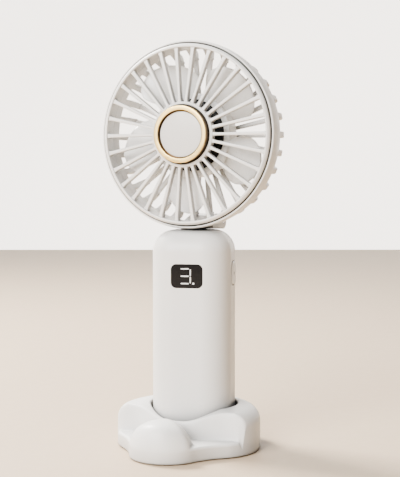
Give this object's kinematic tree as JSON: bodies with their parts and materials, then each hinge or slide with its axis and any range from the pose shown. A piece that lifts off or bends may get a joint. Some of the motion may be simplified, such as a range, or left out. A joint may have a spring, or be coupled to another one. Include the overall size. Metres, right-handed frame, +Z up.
{
  "type": "handheld electric fan",
  "caption": "White rechargeable handheld fan with a round spoked head, a lit display and side button, standing in a loose rounded base with a phone slot.",
  "frame": {"origin": "on the underside of the anti-slip pad, where the handle's axis meets the surface that the base stands on", "axes": "+Z up along the handle, -Y to the front of the base and of the head, +X to the right, where the button is"},
  "size_m": [0.09, 0.0757, 0.1956],
  "materials": {
    "white_shell": "satin moulded",
    "blade_white": "satin moulded",
    "gold_metal": "polished pale gold",
    "satin_disc": "fine satin",
    "black_glass": "polished",
    "lit_white": "lit from behind",
    "grey_lens": "satin",
    "grey_silicone": "matte",
    "black_plastic": "matte",
    "circuit_board": "solder mask",
    "cell_wrap": "shrink sleeve",
    "steel": "plated",
    "black_metal": "black coated",
    "brass": "turned",
    "copper": "enamelled wire"
  },
  "bodies": {
    "base": {"base_body": "white_shell", "base_weight": "steel", "base_bottom_plate": "white_shell", "base_screws": "steel", "anti_slip_pad": "grey_silicone", "pocket_pad": "grey_silicone"},
    "handle": {"handle_shell": "white_shell", "bottom_cap": "white_shell", "cap_screws": "steel", "inner_chassis": "white_shell", "battery_cell": "cell_wrap", "battery_tabs": "steel", "main_board": "circuit_board", "board_parts": "black_plastic", "board_screws": "steel", "usb_socket": "steel", "display_window": "black_glass", "digit_segments": "lit_white", "display_board": "black_plastic", "switch_board": "circuit_board", "tact_switch": "black_plastic"},
    "button": {"button_cap": "white_shell", "button_light": "grey_lens"},
    "neck": {"neck": "white_shell", "swivel_washer": "steel", "swivel_clip": "steel", "hinge_pin": "steel", "hinge_washers": "grey_silicone"},
    "head": {"rear_housing": "white_shell", "rear_fins": "white_shell", "rear_guard": "white_shell", "rear_hub": "white_shell", "front_ring": "white_shell", "front_grille": "white_shell", "hub_cup": "white_shell", "bezel_ring": "gold_metal", "centre_disc": "satin_disc", "rear_badge": "white_shell", "motor_board": "circuit_board", "bearing_tube": "brass", "motor_bearings": "steel", "stator_core": "steel", "stator_windings": "copper"},
    "impeller": {"impeller": "blade_white", "rotor_bell": "black_metal", "magnet_ring": "black_metal", "motor_shaft": "steel"}
  },
  "joints": [
    {"name": "handle_lift", "type": "slide", "parent": "base", "child": "handle", "axis": [0, 0, 1], "range_m": [0, 0.03]},
    {"name": "button_press", "type": "slide", "parent": "handle", "child": "button", "axis": [-0.9781, -0.2079, 0], "range_m": [0, 0.0006], "stiffness_N_per_m": 2500},
    {"name": "neck_turn", "type": "hinge", "parent": "handle", "child": "neck", "pos_m": [0, 0, 0.105], "axis": [0, 0, 1], "range_deg": [-78, 102]},
    {"name": "head_tilt", "type": "hinge", "parent": "neck", "child": "head", "pos_m": [0, 0.0165, 0.1086], "axis": [-1, 0, 0], "range_deg": [0, 90]},
    {"name": "fan_spin", "type": "hinge", "parent": "head", "child": "impeller", "pos_m": [0, 0, 0.1506], "axis": [0, -1, 0], "continuous": true}
  ]
}
